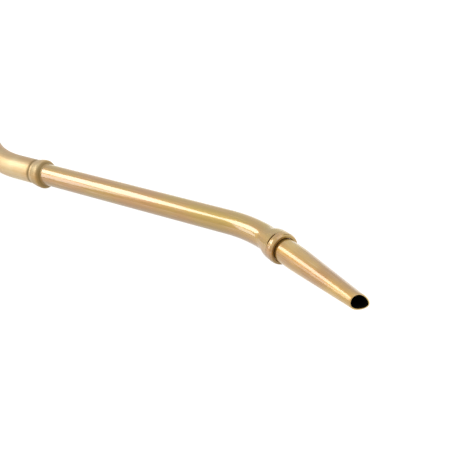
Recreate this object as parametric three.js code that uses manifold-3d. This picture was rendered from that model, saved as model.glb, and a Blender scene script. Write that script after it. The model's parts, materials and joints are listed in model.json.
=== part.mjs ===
// Hand-held lever nozzle for fuel and other fluids, with a long slim bent spout.
// Units are millimetres. The nozzle lies on its side: +X runs along the straight middle tube
// towards the spout's mouth, the tip turns towards -Y, the lever hangs on the -Y side and +Z is up.
import * as THREE from 'three';
import { mergeVertices } from 'three/addons/utils/BufferGeometryUtils.js';
import Module from 'manifold-3d';

const wasm = await Module();
wasm.setup();

// ---------- driving dimensions ----------
const GAP = 0.3; // running clearance between separate pieces
const ROUND = 24; // facets round a tube
const SMALL_ROUND = 16; // facets round a seal
const PIN_ROUND = 12; // facets round a pin, screw or stem

// spout: a 16 x 1 brass tube that telescopes into the larger rear tube
const TUBE_R = 8;
const TUBE_WALL = 1;
const TUBE_LENGTH = 182.5; // straight, from the bead ring's front face to the bend
const TUBE_INSERT = 14; // length hidden in the rear tube
const BEND_R = 124;
const BEND_ANGLE = THREE.MathUtils.degToRad(18.5);
const BEND_TAIL = 1; // straight, after the bend
const BELL_R = 10.2; // flared socket at the front end of the tube
const BELL_LENGTH = 8.6;
const FLARE = 2.6;
const COLLAR_R = 10.3; // lock ring that screws over the bell's nose
const COLLAR_LENGTH = 14.4; // from the start of the flare to the ring's lip
const LIP_R = 9.65;
const TIP_LENGTH = 75; // the part of the tip in front of the lip
const TIP_STRAIGHT = 15; // of which round and parallel
const TIP_BASE_R = 7.8;
const TIP_WALL = 0.75;
// Outside half widths of the pinched mouth, and how much it narrows towards one end, as an egg does.
const MOUTH = { wide: 7.75, narrow: 4.8, roll: -0.8, egg: 0.24 };

// rear tube with the bead ring that the spout turns in
const NECK_R = 9.2;
const NECK_WALL = 0.9;
const NECK_STRAIGHT = 26.3; // behind the bead ring
const NECK_BEND_R = 105;
const NECK_BEND = THREE.MathUtils.degToRad(26);
const RING_LENGTH = 8;
const RING_R = 10.6;

// valve body
const UNION_X = -136; // front face of the union nut
const VALVE_X = -206; // axis of the poppet valve
const OUTLET_Y = 2 * NECK_BEND_R * (1 - Math.cos(NECK_BEND)); // the rear tube's offset
const BARREL_RISE = 20; // grip barrel above the outlet
const BARREL_R = 14.5;
const REST = 18; // half height of the faces that the nozzle lies on
const INLET_U = -204; // rear face of the inlet swivel, from the valve's axis
const PIVOT = { u: 23, y: -34 }; // lever pivot, from the valve's axis and the outlet's axis
const GUARD = { bottom: -84, front: 56, rear: -154, thick: 2.5, half: 8 };

// ---------- materials ----------
const metal = (color, roughness) => new THREE.MeshStandardMaterial({ color, roughness, metalness: 1 });
const soft = (color, roughness) => new THREE.MeshStandardMaterial({ color, roughness, metalness: 0 });
const FINISH = {
  satinBrass: () => metal(0xc9a66b, 0.28),
  castBrass: () => metal(0xb08a4c, 0.5),
  steel: () => metal(0x9a9a98, 0.35),
  rubber: () => soft(0x1a1a1a, 0.85),
  grip: () => soft(0x202224, 0.7),
  gasket: () => soft(0x3a3632, 0.8),
};

const nozzle = new THREE.Group();

function place(name, geometry, finish, parent = nozzle) {
  const mesh = new THREE.Mesh(geometry, FINISH[finish]());
  mesh.name = name;
  parent.add(mesh);
  return mesh;
}

// ---------- solids ----------
// Outlines are lists of [along, radius]; they are closed and wound the same way whatever their order.
function windOutline(outline) {
  const area = outline.reduce((sum, [a, r], i) => {
    const [a2, r2] = outline[(i + 1) % outline.length];
    return sum + r * a2 - r2 * a;
  }, 0);
  return area > 0 ? outline : [...outline].reverse();
}

// A ring or a disc turned about X.
function turned(outline, facets = ROUND) {
  const points = windOutline(outline).map(([a, r]) => new THREE.Vector2(r, a));
  points.push(points[0].clone());
  return new THREE.LatheGeometry(points, facets).rotateZ(-Math.PI / 2);
}

// The same, about Y or Z.
const turnedY = (outline, facets) => turned(outline, facets).rotateZ(Math.PI / 2);
const turnedZ = (outline, facets) => turned(outline, facets).rotateY(-Math.PI / 2);

// A closed outline swept round a path: path(s) gives a centre and the in-plane normal at distance s,
// and each outline point is [s, half width in the plane, half width along Z, roll, egg].
function swept(outline, path, facets = ROUND) {
  const positions = [];
  const index = [];
  const count = outline.length;
  for (const [s, wide, narrow = wide, roll = 0, egg = 0] of windOutline(outline)) {
    const { centre, normal } = path(s);
    for (let k = 0; k < facets; k++) {
      const angle = (k / facets) * 2 * Math.PI;
      const a = wide * Math.cos(angle);
      const b = narrow * Math.sin(angle) * (1 - egg * Math.cos(angle));
      const across = a * Math.cos(roll) - b * Math.sin(roll);
      const up = a * Math.sin(roll) + b * Math.cos(roll);
      positions.push(centre.x + normal.x * across, centre.y + normal.y * across, up);
    }
  }
  for (let i = 0; i < count; i++) {
    for (let k = 0; k < facets; k++) {
      const a = i * facets + k;
      const b = i * facets + ((k + 1) % facets);
      const c = ((i + 1) % count) * facets + k;
      const d = ((i + 1) % count) * facets + ((k + 1) % facets);
      index.push(a, b, c, b, d, c);
    }
  }
  const geometry = new THREE.BufferGeometry();
  geometry.setAttribute('position', new THREE.Float32BufferAttribute(positions, 3));
  geometry.setIndex(index);
  return geometry;
}

// A plate: a flat shape in X and Y, centred on Z = 0 or between two heights.
function plate(shape, half, low = -half, steps = 10) {
  const depth = half - low;
  return new THREE.ExtrudeGeometry(shape, { depth, bevelEnabled: false, curveSegments: steps })
    .translate(0, 0, low);
}

function block(x0, x1, y0, y1, z0, z1) {
  return new THREE.BoxGeometry(x1 - x0, y1 - y0, z1 - z0)
    .translate((x0 + x1) / 2, (y0 + y1) / 2, (z0 + z1) / 2);
}

const rod = (x0, x1, r, facets) => turned([[x0, 0], [x0, r], [x1, r], [x1, 0]], facets);
const rodY = (y0, y1, r, facets) => turnedY([[y0, 0], [y0, r], [y1, r], [y1, 0]], facets);
const rodZ = (z0, z1, r, facets) => turnedZ([[z0, 0], [z0, r], [z1, r], [z1, 0]], facets);

// Hexagonal prism along X with two flats facing up and down, and chamfered corners.
function hexRod(x0, x1, acrossFlats) {
  const corner = acrossFlats / Math.sqrt(3);
  const hex = new THREE.CylinderGeometry(corner, corner, x1 - x0, 6)
    .rotateY(Math.PI / 6).rotateZ(-Math.PI / 2).translate((x0 + x1) / 2, 0, 0);
  const chamfer = 0.06 * acrossFlats;
  const drum = turned([
    [x0, 0], [x0, corner - chamfer], [x0 + chamfer, corner + 0.1],
    [x1 - chamfer, corner + 0.1], [x1, corner - chamfer], [x1, 0],
  ]);
  return intersect(hex, drum);
}
const hexRodY = (y0, y1, acrossFlats) => hexRod(y0, y1, acrossFlats).rotateZ(Math.PI / 2);

// ---------- booleans ----------
function toSolid(geometry) {
  const bare = geometry.clone();
  for (const name of ['normal', 'uv', 'uv1']) bare.deleteAttribute(name);
  const merged = mergeVertices(bare, 1e-4);
  return new wasm.Manifold(new wasm.Mesh({
    numProp: 3,
    vertProperties: Float32Array.from(merged.attributes.position.array),
    triVerts: Uint32Array.from(merged.index.array),
  }));
}

function toGeometry(solid) {
  const mesh = solid.getMesh();
  const geometry = new THREE.BufferGeometry();
  geometry.setAttribute('position', new THREE.BufferAttribute(mesh.vertProperties, 3));
  geometry.setIndex(new THREE.BufferAttribute(mesh.triVerts, 1));
  return geometry;
}

const join = (...parts) => toGeometry(parts.map(toSolid).reduce((all, part) => all.add(part)));
const cut = (whole, ...tools) => toGeometry(tools.map(toSolid).reduce((left, tool) => left.subtract(tool),
  toSolid(whole)));
const intersect = (a, b) => toGeometry(toSolid(a).intersect(toSolid(b)));

// ---------- centrelines ----------
// Each is a chain of straight stretches and arcs in the XY plane, read by distance along it.
function centreline(startX, startY, heading, stretches) {
  return (s) => {
    let x = startX;
    let y = startY;
    let angle = heading;
    let left = s;
    stretches.forEach(({ length, radius = Infinity, turn = 1 }, i) => {
      const used = i === stretches.length - 1 ? left : Math.min(left, length);
      left -= used;
      if (radius === Infinity || used < 0) {
        x += used * Math.cos(angle);
        y += used * Math.sin(angle);
        return;
      }
      const next = angle + (turn * used) / radius;
      x += (radius / turn) * (Math.sin(next) - Math.sin(angle));
      y -= (radius / turn) * (Math.cos(next) - Math.cos(angle));
      angle = next;
    });
    return { centre: new THREE.Vector2(x, y), normal: new THREE.Vector2(-Math.sin(angle), Math.cos(angle)) };
  };
}

// Distances along a stretch, with both ends.
function steps(from, to, count) {
  return Array.from({ length: count + 1 }, (_, i) => from + ((to - from) * i) / count);
}

// ---------- spout ----------
const bendLength = BEND_R * BEND_ANGLE;
const bendStart = TUBE_INSERT + TUBE_LENGTH;
const flareStart = bendStart + bendLength + BEND_TAIL;
const spoutLine = centreline(-TUBE_INSERT, 0, 0, [
  { length: bendStart },
  { length: bendLength, radius: BEND_R, turn: -1 },
  { length: BEND_TAIL + COLLAR_LENGTH },
]);

const NOSE_R = 9; // threaded nose that the lock ring screws over
const NOSE_BORE = 7.6;
const NOSE_END = 10.4;
const BEAD_X = [-4.2, -3.2]; // rolled bead that keeps the spout in the bead ring

function spoutTube() {
  const at = (x) => x + TUBE_INSERT;
  const bend = steps(bendStart, bendStart + bendLength, 5);
  const outside = [
    [0, TUBE_R - 0.4], [0.4, TUBE_R],
    [at(BEAD_X[0] - 0.6), TUBE_R], [at(BEAD_X[0]), 9], [at(BEAD_X[1]), 9], [at(BEAD_X[1] + 0.3), TUBE_R],
    ...bend.map((s) => [s, TUBE_R]),
    [flareStart, TUBE_R], [flareStart + FLARE * 0.5, TUBE_R + 0.7], [flareStart + FLARE, BELL_R - 0.2],
    [flareStart + BELL_LENGTH, BELL_R], [flareStart + BELL_LENGTH, NOSE_R], [flareStart + NOSE_END, NOSE_R],
  ];
  const bore = TUBE_R - TUBE_WALL;
  const inside = [
    [flareStart + NOSE_END, NOSE_BORE], [flareStart + FLARE + 3, NOSE_BORE], [flareStart + FLARE + 2, bore],
    ...bend.reverse().map((s) => [s, bore]), [0, bore],
  ];
  return swept([...outside, ...inside], spoutLine);
}

place('spout_tube', spoutTube(), 'satinBrass');

// The tip and what holds it turn about the axis of the spout's front end.
const front = spoutLine(flareStart);
const tipGroup = new THREE.Group();
tipGroup.position.set(front.centre.x, front.centre.y, 0);
tipGroup.rotation.z = -BEND_ANGLE;
nozzle.add(tipGroup);

const RING_BACK = BELL_LENGTH + 0.6; // the slit between bell and ring
const SHOULDER = 12.9; // inner shoulder of the lock ring
const FLANGE = [11.6, 12.6]; // flange of the tip
const LIP_BORE = 8.1;

place('lock_ring', turned([
  [RING_BACK, NOSE_R + GAP], [RING_BACK, COLLAR_R - 0.25], [RING_BACK + 0.3, COLLAR_R],
  [RING_BACK + 1.4, COLLAR_R], [RING_BACK + 1.6, COLLAR_R - 0.2], [RING_BACK + 1.9, COLLAR_R],
  [13, COLLAR_R], [13.3, LIP_R - 0.3], [13.6, LIP_R - 0.3], [13.8, LIP_R],
  [COLLAR_LENGTH - 0.2, LIP_R], [COLLAR_LENGTH, LIP_R - 0.2], [COLLAR_LENGTH, LIP_BORE + 0.15],
  [COLLAR_LENGTH - 0.2, LIP_BORE], [SHOULDER, LIP_BORE], [SHOULDER, NOSE_R + GAP],
]), 'satinBrass', tipGroup);

place('tip_seal', turned([
  [NOSE_END + GAP, NOSE_BORE + 0.1], [NOSE_END + GAP, NOSE_R], [FLANGE[0] - GAP, NOSE_R],
  [FLANGE[0] - GAP, NOSE_BORE + 0.1],
], SMALL_ROUND), 'rubber', tipGroup);

// The tip's round base passes smoothly into a pinched, slightly rolled mouth.
const tipStraight = centreline(0, 0, 0, [{ length: 1 }]);
const tipEnd = COLLAR_LENGTH + TIP_LENGTH;
const taperStart = COLLAR_LENGTH + TIP_STRAIGHT;
const tipShoulder = COLLAR_LENGTH + 2.2;
function tipSection(s, wall) {
  const share = Math.max(0, (s - taperStart) / (tipEnd - taperStart));
  const wide = THREE.MathUtils.lerp(TIP_BASE_R, MOUTH.wide, share) - wall;
  const narrow = THREE.MathUtils.lerp(TIP_BASE_R, MOUTH.narrow, share) - wall;
  return [s, wide, narrow, MOUTH.roll, MOUTH.egg * share];
}
const SPIGOT_R = NOSE_BORE - GAP;
const SPIGOT_BORE = 6.4;
const SPIGOT_BACK = FLARE + 4;
const tipStations = [tipShoulder, ...steps(taperStart, tipEnd - 0.3, 4)];
place('spout_tip', swept([
  [SPIGOT_BACK, SPIGOT_R], [FLANGE[0], SPIGOT_R], [FLANGE[0], NOSE_R], [FLANGE[1], NOSE_R],
  [FLANGE[1], SPIGOT_R], [tipShoulder - 1, SPIGOT_R],
  ...tipStations.map((s) => tipSection(s, 0)), tipSection(tipEnd, 0.25),
  tipSection(tipEnd, 0.6), ...tipStations.reverse().map((s) => tipSection(s, TIP_WALL)),
  [tipShoulder - 0.8, SPIGOT_BORE], [SPIGOT_BACK, SPIGOT_BORE],
].map((p) => (p.length === 2 ? [p[0], p[1], p[1], MOUTH.roll] : p)), tipStraight), 'satinBrass', tipGroup);

// Two crossed vanes that still the stream before the taper.
const VANE = { from: SPIGOT_BACK + 1, to: 15.5, reach: SPIGOT_BORE - GAP, half: 0.4 };
place('stream_straightener', join(
  block(VANE.from, VANE.to, -VANE.reach, VANE.reach, -VANE.half, VANE.half),
  block(VANE.from, VANE.to, -VANE.half, VANE.half, -VANE.reach, VANE.reach),
), 'satinBrass', tipGroup);

// ---------- rear tube, bead ring and union ----------
const NECK_FRONT = BEAD_X[0] - 0.6 - GAP;
const UNION = { seat: UNION_X - 14, nutEnd: UNION_X - 22 };
const neckLine = centreline(NECK_FRONT, 0, Math.PI, [
  { length: NECK_FRONT + RING_LENGTH + NECK_STRAIGHT },
  { length: NECK_BEND_R * NECK_BEND, radius: NECK_BEND_R, turn: -1 },
  { length: NECK_BEND_R * NECK_BEND, radius: NECK_BEND_R, turn: 1 },
  { length: 40 },
]);

function neckTube() {
  const arc = NECK_BEND_R * NECK_BEND;
  const bendFrom = NECK_FRONT + RING_LENGTH + NECK_STRAIGHT;
  const bends = [
    ...steps(bendFrom, bendFrom + arc, 4), ...steps(bendFrom + arc, bendFrom + 2 * arc, 4).slice(1),
  ];
  const bendExitX = -(RING_LENGTH + NECK_STRAIGHT + 2 * NECK_BEND_R * Math.sin(NECK_BEND));
  const end = bendFrom + 2 * arc + (bendExitX - UNION.seat);
  const stations = [0, ...bends, end];
  const bore = NECK_R - NECK_WALL;
  return swept([...stations.map((s) => [s, NECK_R]), ...stations.reverse().map((s) => [s, bore])], neckLine);
}
place('rear_tube', neckTube(), 'satinBrass');

place('bead_ring', turned([
  [-RING_LENGTH, NECK_R + 0.25], [-RING_LENGTH, NECK_R + 0.55], [-RING_LENGTH + 0.5, NECK_R + 0.8],
  [-RING_LENGTH * 0.5, RING_R - 0.1], [-RING_LENGTH * 0.35, RING_R], [-RING_LENGTH * 0.2, RING_R - 0.05],
  [-1, RING_R - 0.45], [-0.6, 9.4], [-0.2, 8.8], [0, TUBE_R + GAP + 0.15], [0, TUBE_R + GAP],
  [-1.3, TUBE_R + GAP], [-1.3, NECK_R + 0.25],
]), 'satinBrass');

place('spout_packing', turned([
  [-2.6, TUBE_R + GAP], [-2.6, NECK_R], [-1.6, NECK_R], [-1.6, TUBE_R + GAP],
], SMALL_ROUND), 'rubber');

const outlet = new THREE.Group();
outlet.position.y = OUTLET_Y;
nozzle.add(outlet);

const TAIL_R = 11.5;
const THREAD_R = 13.6;
place('tailpiece', turned([
  [UNION.seat, NECK_R + GAP], [UNION.seat, 13.4], [UNION.seat + 4, 13.4], [UNION.seat + 4, TAIL_R],
  [UNION_X + 4, TAIL_R], [UNION_X + 5, TAIL_R - 1], [UNION_X + 5, NECK_R + GAP],
]), 'satinBrass', outlet);

place('union_nut', cut(
  hexRod(UNION.nutEnd, UNION_X, 2 * REST),
  rod(UNION.nutEnd - 1, UNION_X + 1, TAIL_R + GAP),
  rod(UNION.nutEnd - 1, UNION.seat + 4 + GAP, THREAD_R + GAP),
), 'satinBrass', outlet);

const OUTLET_FACE = UNION.seat - 1.6;
place('union_gasket', turned([
  [OUTLET_FACE + GAP, 8.6], [OUTLET_FACE + GAP, 13.2], [UNION.seat - GAP, 13.2], [UNION.seat - GAP, 8.6],
], SMALL_ROUND), 'gasket', outlet);

// ---------- valve body ----------
// Everything behind the union is laid out from the valve's axis: u along X, y from the outlet's axis.
const valve = new THREE.Group();
valve.position.set(VALVE_X, OUTLET_Y, 0);
nozzle.add(valve);

const CHAMBER = { r: REST, bore: 14, top: 42, floor: 12, seat: 8, low: -10, lowBore: 11 };
const GLAND = { r: 8.5, box: 6, top: -14, bottom: -24 };
const BODY_END = -164;
const FRONT_LUG = { from: 36, to: 48, face: -24 };
const REAR_LUG = { from: -143, to: -131, face: -2.4 };
const EAR = { half: 6, inner: 6.3, outer: 9.8 };
const PIN_R = 2.8;
const SCREW_R = 2.2;

function earShape() {
  const shape = new THREE.Shape();
  shape.moveTo(PIVOT.u - 10, -8);
  shape.lineTo(PIVOT.u - EAR.half, PIVOT.y);
  shape.absarc(PIVOT.u, PIVOT.y, EAR.half, Math.PI, 2 * Math.PI, false);
  shape.lineTo(PIVOT.u + 9, -8);
  return shape;
}

function valveBody() {
  const face = OUTLET_FACE - VALVE_X;
  const skin = join(
    turnedY([
      [GLAND.bottom, 0], [GLAND.bottom, GLAND.r], [-16, GLAND.r], [-12, CHAMBER.r - 3], [-9, CHAMBER.r],
      [CHAMBER.top - 1, CHAMBER.r], [CHAMBER.top, CHAMBER.r - 1], [CHAMBER.top, 0],
    ]),
    turned([[0, 0], [0, 15], [24, 15], [36, 14.5], [40, THREAD_R], [face, THREAD_R], [face, 0]]),
    turned([
      [BODY_END, 0], [BODY_END, REST], [BODY_END + 12, REST], [BODY_END + 18, BARREL_R],
      [0, BARREL_R], [0, 0],
    ]).translate(0, BARREL_RISE, 0),
    block(FRONT_LUG.from, FRONT_LUG.to - 2, FRONT_LUG.face, -5, -8, 8),
    block(REAR_LUG.from, REAR_LUG.to, REAR_LUG.face, 12, -8, 8),
    plate(earShape(), EAR.outer, EAR.inner),
    plate(earShape(), -EAR.inner, -EAR.outer),
  );
  return cut(
    skin,
    rodY(CHAMBER.floor, CHAMBER.top + 1, CHAMBER.bore),
    rodY(CHAMBER.seat + 1, CHAMBER.floor + 1, 12),
    rodY(CHAMBER.low, CHAMBER.floor, 8),
    rodY(CHAMBER.low, CHAMBER.seat, CHAMBER.lowBore),
    rodY(GLAND.top - 1, CHAMBER.low + 1, 3 + GAP, PIN_ROUND),
    rodY(GLAND.bottom - 1, GLAND.top, GLAND.box, SMALL_ROUND),
    rod(0, face + 1, 7).translate(0, -3.2, 0),
    rod(face - 8, face + 1, 8.6),
    rod(BODY_END - 1, 0, 8).translate(0, BARREL_RISE, 0),
    rod(BODY_END - 1, BODY_END + 15, 11).translate(0, BARREL_RISE, 0),
    rodZ(-20, 20, PIN_R + GAP, PIN_ROUND).translate(PIVOT.u, PIVOT.y, 0),
    rodY(FRONT_LUG.face - 1, FRONT_LUG.face + 9, SCREW_R + GAP, PIN_ROUND).translate(41, 0, 0),
    rodY(REAR_LUG.face - 1, REAR_LUG.face + 7, SCREW_R + GAP, PIN_ROUND).translate(-137, 0, 0),
  );
}
place('valve_body', valveBody(), 'castBrass', valve);

// ---------- valve trim, all turned about Y ----------
const SEAT_TOP = 13.5;
const STEM_R = 3;
const STEM_FOOT = -36.5;
place('seat_ring', turnedY([
  [CHAMBER.seat + 1 + GAP, 7.6], [CHAMBER.seat + 1 + GAP, 11.7], [12.4, 11.7], [12.8, 9.6], [SEAT_TOP, 8.6],
  [SEAT_TOP, 7.6],
], SMALL_ROUND), 'steel', valve);

place('valve_stem', turnedY([
  [STEM_FOOT, 0], [STEM_FOOT + 0.2, 1.2], [STEM_FOOT + 1, 2.4], [STEM_FOOT + 2.2, STEM_R],
  [10, STEM_R], [10.8, 5.2], [SEAT_TOP, 5.2], [SEAT_TOP, STEM_R], [26, STEM_R], [26, 0],
], PIN_ROUND), 'steel', valve);

const ringY = (y0, y1, inner, outer) => (
  turnedY([[y0, inner], [y0, outer], [y1, outer], [y1, inner]], SMALL_ROUND)
);
place('poppet_seal', ringY(SEAT_TOP + GAP, 16.2, STEM_R + GAP, 10.5), 'rubber', valve);
place('poppet_disc', turnedY([
  [16.5, STEM_R + GAP], [16.5, 11.5], [18.5, 11.5], [20, 10], [20, 6.2], [22, 5.8], [22, STEM_R + GAP],
], SMALL_ROUND), 'satinBrass', valve);
place('stem_nut', cut(hexRodY(22.3, 25, 10), rodY(22, 26, STEM_R + GAP, SMALL_ROUND)), 'steel', valve);

// A coil spring about Y: a round wire swept along a helix.
function coil(turns, radius, wire, low, high, sides, perTurn) {
  class Helix extends THREE.Curve {
    getPoint(t, target = new THREE.Vector3()) {
      const angle = t * turns * 2 * Math.PI;
      return target.set(radius * Math.cos(angle), low + t * (high - low), radius * Math.sin(angle));
    }
  }
  const section = new THREE.Shape(steps(0, 2 * Math.PI, sides).slice(1)
    .map((a) => new THREE.Vector2(wire * Math.cos(a), wire * Math.sin(a))));
  return new THREE.ExtrudeGeometry(section, {
    steps: turns * perTurn, extrudePath: new Helix(), bevelEnabled: false,
  });
}
place('main_spring', coil(5, 7.6, 0.85, 21.4, 45.6, 5, 10), 'steel', valve);

const CAP = { under: 43.6, top: 54, pocket: 9.5 };
place('bonnet_cap', cut(
  join(hexRodY(CAP.under, CAP.top, 34), rodY(32, CAP.under + 1, CHAMBER.bore - GAP)),
  rodY(31, 47, CAP.pocket),
), 'satinBrass', valve);
place('bonnet_gasket', ringY(CHAMBER.top + GAP, CAP.under - GAP, CHAMBER.bore, 16.8), 'gasket', valve);

place('gland_packing', ringY(-17, GLAND.top - GAP, STEM_R + GAP, GLAND.box - GAP), 'rubber', valve);
place('gland_nut', cut(
  join(hexRodY(-28, GLAND.bottom - GAP, 16), rodY(-26, -17.3, GLAND.box - GAP, SMALL_ROUND)),
  rodY(-30, -16, STEM_R + GAP, SMALL_ROUND),
), 'satinBrass', valve);

// ---------- lever ----------
const LEVER = { half: 6, gripHalf: 9, buttonSeat: -38.8 };
const PAWL = { u: -132, y: -62, half: 2.3, reach: 15.2, stored: THREE.MathUtils.degToRad(25) };
function leverShape() {
  const shape = new THREE.Shape();
  shape.moveTo(9, -35);
  shape.quadraticCurveTo(14, -29, PIVOT.u, PIVOT.y + 5.5);
  shape.absarc(PIVOT.u, PIVOT.y, 5.5, Math.PI / 2, -Math.PI / 2, true);
  shape.quadraticCurveTo(14, -40, 8, -46.8);
  shape.quadraticCurveTo(-4, -48, -30, -51);
  shape.quadraticCurveTo(-100, -56, -135, -68);
  shape.absarc(-136, -64.5, 3.6, -Math.PI / 2, -1.5 * Math.PI, true);
  shape.quadraticCurveTo(-100, -49, -30, -44);
  shape.quadraticCurveTo(-12, -42, -6, LEVER.buttonSeat);
  shape.lineTo(6, LEVER.buttonSeat);
  return shape;
}
// The grip part of the lever is wider than the part between the ears.
function lever() {
  const grip = intersect(plate(leverShape(), LEVER.gripHalf), block(-150, -32, -80, -30, -12, 12));
  return cut(
    join(plate(leverShape(), LEVER.half), grip),
    rodZ(-20, 20, PIN_R + GAP, PIN_ROUND).translate(PIVOT.u, PIVOT.y, 0),
    block(-145, -121, -80, -50, -PAWL.half - GAP, PAWL.half + 3.1),
    rodZ(-20, 20, 1.8, PIN_ROUND).translate(PAWL.u, PAWL.y, 0),
  );
}
place('lever', lever(), 'castBrass', valve);
place('lever_button', turnedY([
  [LEVER.buttonSeat + GAP, 0], [LEVER.buttonSeat + GAP, 4], [-37.3, 4], [-36.8, 3], [-36.8, 0],
], SMALL_ROUND), 'steel', valve);

const PIN_HEAD = EAR.outer + GAP;
place('lever_pin', turnedZ([
  [-PIN_HEAD - 2.6, 0], [-PIN_HEAD - 2.6, PIN_R], [PIN_HEAD, PIN_R], [PIN_HEAD, 4.6], [PIN_HEAD + 1.6, 4.6],
  [PIN_HEAD + 2, 4], [PIN_HEAD + 2, 0],
], PIN_ROUND).translate(PIVOT.u, PIVOT.y, 0), 'steel', valve);
place('lever_pin_clip', turnedZ([
  [-PIN_HEAD - 1.2, PIN_R + GAP], [-PIN_HEAD - 1.2, 5], [-PIN_HEAD, 5], [-PIN_HEAD, PIN_R + GAP],
], PIN_ROUND).translate(PIVOT.u, PIVOT.y, 0), 'steel', valve);

// ---------- hold-open pawl in the lever's forked end ----------
// The outline is drawn with the pawl engaged; it is stored swung clear of the toothed strip.
function pawlShape() {
  const shape = new THREE.Shape();
  shape.moveTo(3.2, 0);
  shape.absarc(0, 0, 3.2, 0, Math.PI / 2, false);
  shape.lineTo(-12.5, 1.8);
  shape.lineTo(-PAWL.reach, 0.5);
  shape.lineTo(-PAWL.reach, -0.5);
  shape.lineTo(-12, -1.6);
  shape.lineTo(-3, -2.8);
  shape.lineTo(3.6, -12.6);
  shape.lineTo(6.4, -11.4);
  return shape;
}
place('hold_open_pawl', cut(
  plate(pawlShape(), PAWL.half),
  rodZ(-9, 9, 1.8, PIN_ROUND),
).rotateZ(-PAWL.stored).translate(PAWL.u, PAWL.y, 0), 'steel', valve);
place('pawl_pin', rodZ(-LEVER.gripHalf, LEVER.gripHalf, 1.5, PIN_ROUND).translate(PAWL.u, PAWL.y, 0),
  'steel', valve);
place('pawl_spring', coil(3, 2.5, 0.35, PAWL.half + 0.7, PAWL.half + 2.6, 4, 8)
  .rotateX(Math.PI / 2).translate(PAWL.u, PAWL.y, 0), 'steel', valve);

// ---------- guard ----------
const TAB = { front: FRONT_LUG.face - GAP, rear: REAR_LUG.face - GAP };
// The strap's outer side from the front tab round to the rear tab, then its inner side back.
function guardShape() {
  const { front, rear, bottom, thick } = GUARD;
  const bow = new THREE.Shape();
  bow.moveTo(FRONT_LUG.from, TAB.front);
  bow.absarc(front - 10, TAB.front - 10, 10, Math.PI / 2, 0, true);
  bow.absarc(front - 16, bottom + 16, 16, 0, -Math.PI / 2, true);
  bow.absarc(rear + 24, bottom + 24, 24, -Math.PI / 2, -Math.PI, true);
  bow.absarc(rear + 10, TAB.rear - 10, 10, Math.PI, Math.PI / 2, true);
  bow.lineTo(REAR_LUG.to, TAB.rear);
  bow.lineTo(REAR_LUG.to, TAB.rear - thick);
  bow.absarc(rear + 10, TAB.rear - 10, 10 - thick, Math.PI / 2, Math.PI, false);
  bow.absarc(rear + 24, bottom + 24, 24 - thick, Math.PI, 1.5 * Math.PI, false);
  bow.absarc(front - 16, bottom + 16, 16 - thick, -Math.PI / 2, 0, false);
  bow.absarc(front - 10, TAB.front - 10, 10 - thick, 0, Math.PI / 2, false);
  bow.lineTo(FRONT_LUG.from, TAB.front - thick);
  return bow;
}
place('lever_guard', cut(
  plate(guardShape(), GUARD.half, -GUARD.half, 6),
  rodY(-30, -20, SCREW_R + GAP, PIN_ROUND).translate(41, 0, 0),
  rodY(-9, 0, SCREW_R + GAP, PIN_ROUND).translate(-137, 0, 0),
), 'satinBrass', valve);

// Toothed strip on the guard's rear leg that the pawl catches in.
const RACK = { back: GUARD.rear + GUARD.thick + GAP, from: -53.25, pitch: 8, teeth: 4 };
function rackShape() {
  const shape = new THREE.Shape();
  shape.moveTo(RACK.back, RACK.from - 2);
  shape.lineTo(RACK.back + 1.2, RACK.from - 2);
  for (let i = 0; i < RACK.teeth; i++) {
    shape.lineTo(RACK.back + 1.2, RACK.from + i * RACK.pitch);
    shape.lineTo(RACK.back + 2.8, RACK.from + (i + 0.8) * RACK.pitch);
    shape.lineTo(RACK.back + 1.2, RACK.from + (i + 0.9) * RACK.pitch);
  }
  shape.lineTo(RACK.back, RACK.from + RACK.teeth * RACK.pitch);
  return shape;
}
place('hold_open_rack', plate(rackShape(), 5), 'steel', valve);

function guardScrew(under, length) {
  return turnedY([
    [under - 3, 0], [under - 3, 3.6], [under - 2.2, 4.4], [under, 4.4], [under, SCREW_R],
    [under + length, SCREW_R],
    [under + length, 0],
  ], PIN_ROUND);
}
place('guard_screw_front', guardScrew(TAB.front - GUARD.thick - GAP, 9).translate(41, 0, 0), 'steel', valve);
place('guard_screw_rear', guardScrew(TAB.rear - GUARD.thick - GAP, 8).translate(-137, 0, 0), 'steel', valve);

// ---------- grip, swivel and inlet, all turned about the barrel's axis ----------
const barrel = new THREE.Group();
barrel.position.y = BARREL_RISE;
valve.add(barrel);

const GRIP = { rear: -126, front: -26, r: 16.8 };
place('grip_sleeve', turned([
  [GRIP.rear, BARREL_R + GAP], [GRIP.rear, GRIP.r], [GRIP.rear + 3, GRIP.r + 0.6],
  [GRIP.rear + 6, GRIP.r - 0.6],
  [GRIP.front - 6, GRIP.r - 0.6], [GRIP.front - 3, GRIP.r + 0.6], [GRIP.front, GRIP.r],
  [GRIP.front, BARREL_R + GAP],
]), 'grip', barrel);

const SPINDLE_R = 9.5;
const INLET_HEX = 31;
place('swivel_spindle', cut(
  join(
    turned([
      [-188, 0], [-188, SPINDLE_R - 0.6], [-187.4, SPINDLE_R], [-180.2, SPINDLE_R],
      [-180.2, 8.2], [-177, 8.2],
      [-177, SPINDLE_R], [-166, SPINDLE_R], [-166, 0],
    ]),
    hexRod(-172, BODY_END - GAP, 30),
    rod(-170, -151, 11 - GAP),
  ),
  rod(-190, -150, 7.5),
), 'satinBrass', barrel);

const ring = (x0, x1, inner, outer) => (
  turned([[x0, inner], [x0, outer], [x1, outer], [x1, inner]], SMALL_ROUND)
);
place('swivel_seal', ring(-179.9, -177.3, 8.5, SPINDLE_R), 'rubber', barrel);
place('swivel_retainer', ring(-187.5, -184, SPINDLE_R + GAP, 11.9), 'steel', barrel);
place('inlet_swivel', cut(
  join(hexRod(INLET_U, -178, INLET_HEX), rod(-180, -172.3, 13.5)),
  rod(INLET_U - 1, -171, SPINDLE_R + GAP),
  rod(INLET_U - 1, -183.7, 12.3),
), 'satinBrass', barrel);
place('hose_gasket', ring(-190.4, -188.4, 8, 12), 'rubber', barrel);

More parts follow.
